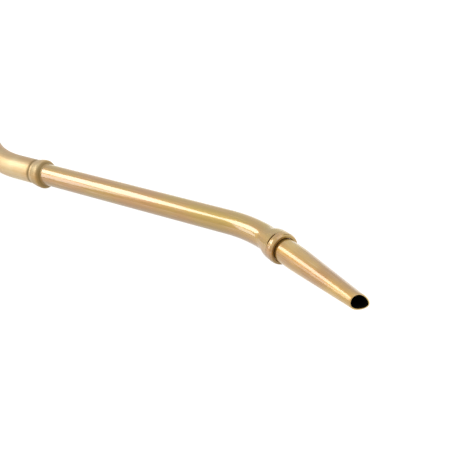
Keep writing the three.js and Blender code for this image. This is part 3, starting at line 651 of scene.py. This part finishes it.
def make_rear_tube():
    sweep = NECK_BEND_R * NECK_BEND
    bend_from = NECK_FRONT + RING_LENGTH + NECK_STRAIGHT
    line = centreline((NECK_FRONT, 0), math.pi, [
        (bend_from, None, 1), (sweep, NECK_BEND_R, -1), (sweep, NECK_BEND_R, 1), (40, None, 1)])
    bend_exit = -(RING_LENGTH + NECK_STRAIGHT + 2 * NECK_BEND_R * math.sin(NECK_BEND))
    end = bend_from + 2 * sweep + bend_exit - TAIL_SEAT
    groove = 6.2  # behind the ring, from the tube's front end
    outline = [
        (0, NECK_R), (2.9, NECK_R, 0.05), (2.95, 9.74, 0.1), (5.0, 9.6, 1.2), (groove, 8.85, 0.9),
        (7.6, NECK_R, 1.0), (end, NECK_R), (end, NECK_BORE), (0, NECK_BORE),
    ]
    # Shade is painted into the groove behind the ring.
    turned("rear_tube", outline, SPOUT, path=line, step=0.7, look="dull_brass",
           tarnish=lambda s, r, _: max(0.0, 1.0 - abs(s - groove) * 0.36) if r > NECK_BORE else 0.0)


make_rear_tube()


def ring_slant(s, r, angles):
    """The rolled ring is fuller and reaches further forward on its lower side."""
    forward, fuller = 2.4, 0.45
    lower = (1 - np.cos(angles - math.pi / 4)) / 2
    share = min(1.0, max(0.0, (s + 7) / 6))
    return forward * lower * share, np.where(r > 8.6, fuller, 0.0) * lower * share


# Shade is painted into the cove at the ring's front.
turned("bead_ring", [
    (-8, 9.45), (-8, 9.76, 0.1), (-6.6, 10.2, 1.2), (-4.0, 10.55, 1.5), (-1.9, 10.5, 1.0), (-1.1, 9.7, 0.7),
    (-0.7, 8.9, 0.9), (0.6, 8.25, 0.7), (1.6, 8.06, 0.1), (1.6, 8.03), (-1.3, 8.03), (-1.3, 9.45),
], SPOUT, radius=0.1, step=0.5, look="dull_brass", warp=ring_slant,
    tarnish=lambda s, r, _: max(0.0, 0.9 - abs(s + 0.1) * 0.45) if r < 10 else 0.0)

turned("tailpiece", [
    (TAIL_SEAT, 9.5), (TAIL_SEAT, 13.4), (TAIL_SEAT + 4, 13.4), (TAIL_SEAT + 4, 11.5, 0.6),
    (UNION_X + 4, 11.5, 0.6), (UNION_X + 5, 10.5, 0.4), (UNION_X + 5, 9.5),
], OUTLET)
turned("union_nut", [
    (UNION_X - 22, 13.9), (UNION_X - 22, 17.6, 0.1), (UNION_X - 20.2, 20.9), (UNION_X - 1.9, 20.9),
    (UNION_X, 17.4, 0.1), (UNION_X, 16.2), (UNION_X - 0.5, 15.8), (UNION_X - 0.5, 12.6), (UNION_X, 12.2),
    (UNION_X, 11.8), (UNION_X - 9.7, 11.8), (UNION_X - 9.7, 13.9),
], OUTLET, flats=36, step=0.8)
turned("union_gasket", [
    (UNION_X - 15.3, 8.6), (UNION_X - 15.3, 13.2), (UNION_X - 14.3, 13.2), (UNION_X - 14.3, 8.6),
], OUTLET, "gasket")
turned("spout_packing", [(-2.6, 8.3), (-2.6, 9.2), (-1.6, 9.2), (-1.6, 8.3)], SPOUT, "rubber")
turned("tip_seal", [(10.7, 7.7), (10.7, 9.0), (11.3, 9.0), (11.3, 7.7)], FRONT, "rubber")


# ---------------------------------------------------------------- solids for casting and carving
def solid(points, faces, matrix=VALVE):
    """A bare mesh object, in metres, to join or carve with."""
    mesh = bpy.data.meshes.new("tool")
    mesh.from_pydata([matrix @ Vector(p) for p in points], [], faces)
    piece = bpy.data.objects.new("tool", mesh)
    bpy.context.collection.objects.link(piece)
    work = bmesh.new()
    work.from_mesh(mesh)
    bmesh.ops.remove_doubles(work, verts=work.verts, dist=1e-7)
    bmesh.ops.recalc_face_normals(work, faces=work.faces)
    work.to_mesh(mesh)
    work.free()
    return piece


def turned_solid(outline, matrix=VALVE, radius=0.0, facets=64, **options):
    return solid(*surface(rounded(outline, radius), facets=facets, **options)[:2], matrix)


def rod(low, high, r, matrix=VALVE):
    return turned_solid([(low, 0), (low, r), (high, r), (high, 0)], matrix)


def block(low, high, matrix=VALVE):
    corners = [(x, y, z) for x in (low[0], high[0]) for y in (low[1], high[1]) for z in (low[2], high[2])]
    faces = [(0, 1, 3, 2), (4, 6, 7, 5), (0, 4, 5, 1), (2, 3, 7, 6), (0, 2, 6, 4), (1, 5, 7, 3)]
    return solid(corners, faces, matrix)


def slab(outline, low, high):
    """Points and faces of a flat shape between two heights."""
    count = len(outline)
    points = [(x, y, low) for x, y in outline] + [(x, y, high) for x, y in outline]
    faces = [tuple(range(count))[::-1], tuple(range(count, 2 * count))]
    faces += [(i, (i + 1) % count, count + (i + 1) % count, count + i) for i in range(count)]
    return points, faces


def settle(piece):
    """Applies the modifiers."""
    shape = bpy.data.meshes.new_from_object(piece.evaluated_get(bpy.context.evaluated_depsgraph_get()))
    piece.modifiers.clear()
    piece.data = shape
    return piece


def carve(piece, *tools, operation="DIFFERENCE"):
    for tool in tools:
        made = piece.modifiers.new("carve", "BOOLEAN")
        made.operation, made.object, made.solver = operation, tool, "MANIFOLD"
        settle(piece)
        bpy.data.objects.remove(tool)
    return piece


def cast(parts, voxel, rounds):
    """Fuses solids into one skin with soft inner and outer corners, as from a mould."""
    whole = parts[0]
    carve(whole, *parts[1:], operation="UNION")
    mesh_again = whole.modifiers.new("skin", "REMESH")
    mesh_again.mode, mesh_again.voxel_size = "VOXEL", voxel * MM
    soft = whole.modifiers.new("soft", "SMOOTH")
    soft.factor, soft.iterations = 0.5, rounds
    return settle(whole)


def finish_piece(piece, node, slot, sharp=32, bevel=0.0):
    piece.name = node + "_fine"
    mesh = piece.data
    mesh.materials.clear()
    mesh.materials.append(MATERIALS[slot])
    where = np.empty(len(mesh.vertices) * 3)
    mesh.vertices.foreach_get("co", where)
    mesh.attributes.new("grain", "FLOAT_VECTOR", "POINT").data.foreach_set("vector", where)
    mesh.polygons.foreach_set("use_smooth", [True] * len(mesh.polygons))
    mesh.set_sharp_from_angle(angle=math.radians(sharp))
    if bevel:
        edge = piece.modifiers.new("bevel", "BEVEL")
        edge.width, edge.segments, edge.limit_method = bevel * MM, 3, "ANGLE"
        edge.angle_limit = math.radians(35)
        edge.harden_normals = True
    return stand_for(piece, node)


def arc(x, y, r, start, end, count=14):
    return [(x + r * math.cos(math.radians(a)), y + r * math.sin(math.radians(a)))
            for a in np.linspace(start, end, count)]


def curve(start, control, end, count=16):
    """A quadratic curve, without its first point."""
    a, b, c = (np.array(p, float) for p in (start, control, end))
    return [tuple((1 - t) ** 2 * a + 2 * t * (1 - t) * b + t * t * c)
            for t in np.linspace(0, 1, count + 1)[1:]]


def thread(start, end, crest, depth, pitch=1.6):
    """Ridges of a thread as outline points, from start to end."""
    count = int(abs(end - start) // pitch)
    step = (end - start) / count
    points = []
    for i in range(count):
        at = start + i * step
        points += [(at, crest - depth), (at + 0.35 * step, crest), (at + 0.6 * step, crest)]
    return points + [(end, crest - depth)]


PIVOT = 23, -34  # of the lever, from the valve's axis
PIVOT_HOLE_R, PAWL_PIN_HOLE_R, SCREW_HOLE_R = 3.1, 1.8, 2.5
FRONT_SCREW_Y, REAR_SCREW_Y = -41, 137  # the guard's screws, along the barrel from the valve's axis
VALVE_Y = VALVE @ ALONG_Y
VALVE_AT_PIVOT = VALVE @ Matrix.Translation((*PIVOT, 0)) @ ALONG_Z
FRONT_SCREW = VALVE_Y @ Matrix.Translation((0, FRONT_SCREW_Y, 0))
REAR_SCREW = VALVE_Y @ Matrix.Translation((0, REAR_SCREW_Y, 0))
OUTLET_END = UNION_X - 15.6 - (VALVE_AXIS_X - RING_FACE.x) / MM  # outlet face, from the valve's axis


# ---------------------------------------------------------------- valve body
def ear(low, high):
    outline = [(PIVOT[0] - 10, -8)] + arc(*PIVOT, 6, 180, 360) + [(PIVOT[0] + 9, -8)]
    return solid(*slab(outline, low, high))


def make_valve_body():
    body = cast([
        turned_solid([(-24.6, 0), (-24.6, 8.5), (-16, 8.5), (-12, 15, 2), (-9, 18, 2), (42.6, 18),
                      (42.6, 0)], VALVE_Y, 0.5),
        turned_solid([(0, 0), (0, 15), (24, 15), (36, 14.5, 4), (41, 13, 2), (41, 0)], VALVE, 0.3),
        turned_solid([(-164.6, 0), (-164.6, 18), (-152, 18, 3), (-146, 14.5, 3), (0, 14.5), (0, 0)],
                     BARREL, 0.5),
        block((36, -24.6, -8), (46, -5, 8)),
        block((-143, -3, -8), (-131, 12, 8)),
        ear(6.3, 9.8),
        ear(-9.8, -6.3),
    ], 0.7, 5)
    carve(
        body,
        block((-30, 42, -30), (30, 60, 30)),
        block((-30, -40, -30), (11.5, -24, 30)),
        block((-180, -10, -30), (-164, 60, 30)),
        block((34, -40, -20), (50, -24, 20)),
        block((-150, -20, -20), (-125, -2.4, 20)),
        block((PIVOT[0] - 12, -44, -6.3), (PIVOT[0] + 8, -19, 6.3)),
        turned_solid([(40, 11), (40, 20), (60, 20), (60, 11)]),
    )
    outlet = [(30, 0), (30, 12.6)] + thread(40.5, OUTLET_END - 0.6, 13.55, 0.8) + [
        (OUTLET_END, 12.4), (OUTLET_END, 0)]
    carve(body, turned_solid(outlet, VALVE, 0.06, step=2.0), operation="UNION")
    carve(
        body,
        turned_solid([(12, 0), (12, 14), (41.2, 14), (43, 15), (43, 0)], VALVE_Y),
        rod(9, 13, 12, VALVE_Y),
        rod(-10, 12, 8, VALVE_Y),
        rod(-10, 8, 11, VALVE_Y),
        rod(-15, -9, 3.3, VALVE_Y),
        rod(-25, -14, 6, VALVE_Y),
        rod(0, OUTLET_END + 1, 7, VALVE @ Matrix.Translation((0, -3.2, 0))),
        rod(OUTLET_END - 8, OUTLET_END + 1, 8.6),
        rod(-165, 0, 8, BARREL),
        turned_solid([(-165, 0), (-165, 12), (-163.4, 11.1), (-149, 11), (-149, 0)], BARREL),
        rod(-20, 20, PIVOT_HOLE_R, VALVE_AT_PIVOT),
        rod(-25, -15, SCREW_HOLE_R, FRONT_SCREW),
        rod(-4, 4.6, SCREW_HOLE_R, REAR_SCREW),
    )
    finish_piece(body, "valve_body", "cast_brass", sharp=38)


make_valve_body()

# ---------------------------------------------------------------- valve trim
turned("seat_ring", [
    (9.3, 7.6), (9.3, 11.7), (12.4, 11.7), (12.8, 9.6), (13.5, 8.6), (13.5, 7.6)], VALVE_Y, "steel")
turned("valve_stem", [
    (-36.5, 0), (-36.5, 1.2, 0.4), (-35.5, 2.4, 0.5), (-34.3, 3), (10, 3), (10.8, 5.2), (13.5, 5.2),
    (13.5, 3), (22, 3)] + thread(22.2, 25.6, 3.0, 0.3, 0.8) + [(26, 2.5), (26, 0),
], VALVE_Y, "steel", 0.12)
turned("poppet_seal", [(13.8, 3.3), (13.8, 10.5), (16.2, 10.5), (16.2, 3.3)], VALVE_Y, "rubber")
turned("poppet_disc", [
    (16.5, 3.3), (16.5, 11.5), (18.5, 11.5), (20, 10), (20, 6.2), (22, 5.8), (22, 3.3)], VALVE_Y)
turned("stem_nut", [
    (22.3, 3.3), (22.3, 4.9, 0.05), (22.7, 5.8), (24.6, 5.8), (25, 4.9, 0.05), (25, 3.3)],
    VALVE_Y, "steel", 0.1, flats=10, step=0.3)
turned("bonnet_cap", [
    (32, 9.5), (32, 13.2)] + thread(32.6, 41.4, 13.65, 0.7) + [
    (42, 12.9), (43.6, 12.9), (43.6, 16.7, 0.1), (45.2, 19.7), (52.2, 19.7), (54, 16.4, 0.15), (54, 12.0),
    (53.5, 11.4), (53.5, 5.0), (53.1, 4.2), (53.1, 0), (47, 0), (47, 9.5)],
    VALVE_Y, radius=0.2, flats=34, step=0.8)
turned("bonnet_gasket", [(42.3, 14), (42.3, 16.8), (43.3, 16.8), (43.3, 14)], VALVE_Y, "gasket")
turned("gland_packing", [(-17, 3.3), (-17, 5.7), (-14.3, 5.7), (-14.3, 3.3)], VALVE_Y, "rubber")
turned("gland_nut", [
    (-28, 3.3), (-28, 7.8, 0.05), (-27.3, 9.3), (-25.0, 9.3), (-24.3, 7.8, 0.05), (-24.3, 5.4)]
    + thread(-24.0, -17.8, 5.7, 0.5, 1.2) + [(-17.3, 5.1), (-17.3, 3.3)],
    VALVE_Y, radius=0.12, flats=16, step=0.4)


def wire(path, radius, sides=14):
    """Points and faces of a round wire along a list of points, closed at both ends."""
    path = [np.array(p, float) for p in path]
    points, faces = [], []
    for i, here in enumerate(path):
        ahead = path[min(i + 1, len(path) - 1)] - path[max(i - 1, 0)]
        ahead /= np.linalg.norm(ahead)
        side = np.cross(ahead, (0.0, 1.0, 0.0))
        side /= np.linalg.norm(side)
        up = np.cross(side, ahead)
        for k in range(sides):
            angle = 2 * math.pi * k / sides
            points.append(here + radius * (math.cos(angle) * side + math.sin(angle) * up))
    for i in range(len(path) - 1):
        for k in range(sides):
            n = (k + 1) % sides
            faces.append((i * sides + k, i * sides + n, (i + 1) * sides + n, (i + 1) * sides + k))
    faces += [tuple(range(sides))[::-1], tuple(range(len(points) - sides, len(points)))]
    return points, faces


def helix(turns, radius, low, high, dead_turns, per_turn=48):
    """A compression spring about Y: the end turns lie flat, the rest climb evenly."""
    made = []
    for t in np.linspace(0, turns, int(turns * per_turn) + 1):
        climb = min(max((t - dead_turns) / (turns - 2 * dead_turns), 0), 1)
        climb = climb * climb * (3 - 2 * climb) * 0.25 + climb * 0.75
        angle = 2 * math.pi * t
        made.append((radius * math.cos(angle), low + climb * (high - low), radius * math.sin(angle)))
    return made


def make_spring(node, shape, matrix):
    return stand_for(to_object(node + "_fine", *shape, matrix, "steel", sharp=60), node)


main_spring = make_spring("main_spring", wire(helix(5, 7.6, 21.5, 45.5, 0.5), 0.85), VALVE)
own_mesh(main_spring)

# ---------------------------------------------------------------- lever
PAWL = (-132, -62)


def lever_outline():
    points = [(9, -35)] + curve((9, -35), (14, -29), (PIVOT[0], PIVOT[1] + 5.5)) + arc(*PIVOT, 5.5, 90, -90)
    points += curve(points[-1], (14, -40), (8, -46.8)) + curve((8, -46.8), (-4, -48), (-30, -51))
    points += curve((-30, -51), (-100, -56), (-135, -68)) + arc(-136, -64.5, 3.6, -90, -270)
    points += curve(points[-1], (-100, -49), (-30, -44)) + curve((-30, -44), (-12, -42), (-6, -38.8))
    return points + [(6, -38.8)]


def make_lever():
    outline = lever_outline()
    wide = solid(*slab(outline, -9, 9))
    carve(wide, block((-150, -80, -12), (-32, -30, 12)), operation="INTERSECT")
    lever = cast([solid(*slab(outline, -6, 6)), wide], 0.5, 7)
    carve(
        lever,
        block((-7, -38.8, -12), (7.5, -30, 12)),
        rod(-20, 20, PIVOT_HOLE_R, VALVE_AT_PIVOT),
        block((-145, -80, -2.6), (-121, -50, 5.4)),
        rod(-20, 20, PAWL_PIN_HOLE_R, VALVE @ Matrix.Translation((*PAWL, 0)) @ ALONG_Z),
    )
    finish_piece(lever, "lever", "cast_brass", sharp=38)


make_lever()
turned("lever_button", [
    (-38.5, 0), (-38.5, 4), (-37.3, 4, 0.4), (-36.8, 3, 0.6), (-36.8, 0)], VALVE_Y, "steel")
turned("lever_pin", [
    (-12.7, 0), (-12.7, 2.5, 0.3), (-12.2, 2.8), (10.1, 2.8), (10.1, 4.6), (11.7, 4.6, 0.5), (12.1, 3.6, 0.6),
    (12.1, 0)], VALVE_AT_PIVOT, "steel")
turned("lever_pin_clip", [(-11.3, 3.1), (-11.3, 5), (-10.1, 5), (-10.1, 3.1)], VALVE_AT_PIVOT, "steel")


def make_pawl():
    outline = arc(0, 0, 3.2, 0, 90) + [
        (-12.5, 1.8), (-15.2, 0.5), (-15.2, -0.5), (-12, -1.6), (-3, -2.8), (3.6, -12.6), (6.4, -11.4)]
    at = VALVE @ Matrix.Translation((*PAWL, 0))
    stored = at @ Matrix.Rotation(math.radians(-25), 4, "Z")
    pawl = solid(*slab(outline, -2.3, 2.3), stored)
    carve(pawl, rod(-9, 9, PAWL_PIN_HOLE_R, at @ ALONG_Z))
    finish_piece(pawl, "hold_open_pawl", "steel", bevel=0.3)
    turned("pawl_pin", [(-9, 0), (-9, 1.5), (9, 1.5), (9, 0)], at @ ALONG_Z, "steel", 0.4)
    make_spring("pawl_spring", wire(helix(3, 2.5, 3.0, 4.9, 0.3), 0.35, 10),
                at @ Matrix.Rotation(math.pi / 2, 4, "X"))


make_pawl()


# ---------------------------------------------------------------- guard
GUARD_BOTTOM, GUARD_FRONT, GUARD_REAR, STRAP = -84, 56, -154, 2.5
TAB_FRONT, TAB_REAR = -24.3, -2.7


def make_guard():
    f, r, b, t = GUARD_FRONT, GUARD_REAR, GUARD_BOTTOM, STRAP
    outline = (
        [(36, TAB_FRONT)] + arc(f - 10, TAB_FRONT - 10, 10, 90, 0) + arc(f - 16, b + 16, 16, 0, -90)
        + arc(r + 24, b + 24, 24, -90, -180) + arc(r + 10, TAB_REAR - 10, 10, 180, 90)
        + [(-131, TAB_REAR), (-131, TAB_REAR - t)] + arc(r + 10, TAB_REAR - 10, 10 - t, 90, 180)
        + arc(r + 24, b + 24, 24 - t, 180, 270) + arc(f - 16, b + 16, 16 - t, -90, 0)
        + arc(f - 10, TAB_FRONT - 10, 10 - t, 0, 90) + [(36, TAB_FRONT - t)])
    guard = solid(*slab(outline, -8, 8))
    carve(guard, rod(-30, -20, SCREW_HOLE_R, FRONT_SCREW), rod(-9, 0, SCREW_HOLE_R, REAR_SCREW))
    finish_piece(guard, "lever_guard", "satin_brass", bevel=0.7)


def make_rack():
    back = GUARD_REAR + STRAP + GAP
    outline = [(back, -55.25), (back + 1.2, -55.25)]
    for i in range(4):
        foot = -53.25 + 8 * i
        outline += [(back + 1.2, foot), (back + 2.8, foot + 6.4), (back + 1.2, foot + 7.2)]
    rack = solid(*slab(outline + [(back, -21.25)], -5, 5))
    finish_piece(rack, "hold_open_rack", "steel", bevel=0.15)


def make_screw(node, under, length, at):
    """A slotted screw whose head's underside is at height under."""
    head = [(under - 3, 0), (under - 3, 3.4, 0.6), (under - 2.0, 4.4, 0.8), (under, 4.4, 0.2), (under, 2.1)]
    shank = thread(under + 0.4, under + length - 0.3, 2.2, 0.3, 0.8)
    end = [(under + length, 1.8), (under + length, 0)]
    screw = turned_solid(head + shank + end, at, 0.06, facets=48)
    carve(screw, block((under - 4, -6, -0.55), (under - 1.7, 6, 0.55), at))
    finish_piece(screw, node, "steel")


make_guard()
make_rack()
make_screw("guard_screw_front", TAB_FRONT - STRAP - GAP, 9, FRONT_SCREW)
make_screw("guard_screw_rear", TAB_REAR - STRAP - GAP, 8, REAR_SCREW)


# ---------------------------------------------------------------- grip, swivel and inlet
def make_grip():
    ribs = []
    for i in range(20):
        at = -118.0 + 4.2 * i
        ribs += [(at, 15.6, 0.4), (at + 0.5, 16.2, 0.4), (at + 3.2, 16.2, 0.4), (at + 3.7, 15.6, 0.4)]
    turned("grip_sleeve", [
        (-126, 14.8), (-126, 16.6, 0.4), (-124.6, 17.2, 1.0), (-122.2, 17.35, 1.0),
        (-120.4, 16.2, 0.8)] + ribs + [
        (-31.6, 16.2, 0.8), (-29.8, 17.35, 1.0), (-27.4, 17.2, 1.0), (-26, 16.6, 0.4), (-26, 14.8)],
        BARREL, "grip", 0.3, step=3.0)


make_grip()
turned("swivel_spindle", [
    (-188, 7.5), (-188, 8.9), (-187.4, 9.5), (-180.2, 9.5), (-180.2, 8.2), (-177, 8.2), (-177, 9.5),
    (-172, 9.5), (-172, 14.7, 0.05), (-170.4, 17.4), (-165.9, 17.4), (-164.3, 14.7, 0.05), (-164.3, 10.2)]
    + thread(-163.8, -151.8, 10.7, 0.7) + [(-151, 10.0), (-151, 7.5)],
    BARREL, radius=0.15, flats=30, step=0.7)
turned("inlet_swivel", [
    (-204, 13.0), (-204, 15.2, 0.05), (-202.4, 18.0), (-179.6, 18.0), (-178, 15.2, 0.05), (-178, 13.5),
    (-172.3, 13.5, 0.5), (-172.3, 9.8), (-183.7, 9.8), (-183.7, 12.3)]
    + [(x, 25.2 - r) for x, r in thread(-185.5, -203.2, 12.9, 0.6, 1.8)],
    BARREL, radius=0.12, flats=31, step=0.8)
turned("swivel_seal", [(-179.9, 8.5), (-179.9, 9.5), (-177.3, 9.5), (-177.3, 8.5)], BARREL, "rubber", 0.3)
turned("swivel_retainer", [(-187.5, 9.8), (-187.5, 11.9), (-184, 11.9), (-184, 9.8)], BARREL, "steel")
turned("hose_gasket", [(-190.4, 8), (-190.4, 12), (-188.4, 12), (-188.4, 8)], BARREL, "rubber", 0.3)


def node_object(node):
    return next(o for o in bpy.data.objects if o.name == node or o.name.startswith(node + "."))


# Pieces deep inside keep their own shape and take a finer finish.
for node, slot in (("stream_straightener", "satin_brass"), ("inlet_strainer", "steel")):
    plain = node_object(node)
    for place in plain.material_slots:
        place.material = MATERIALS[slot]
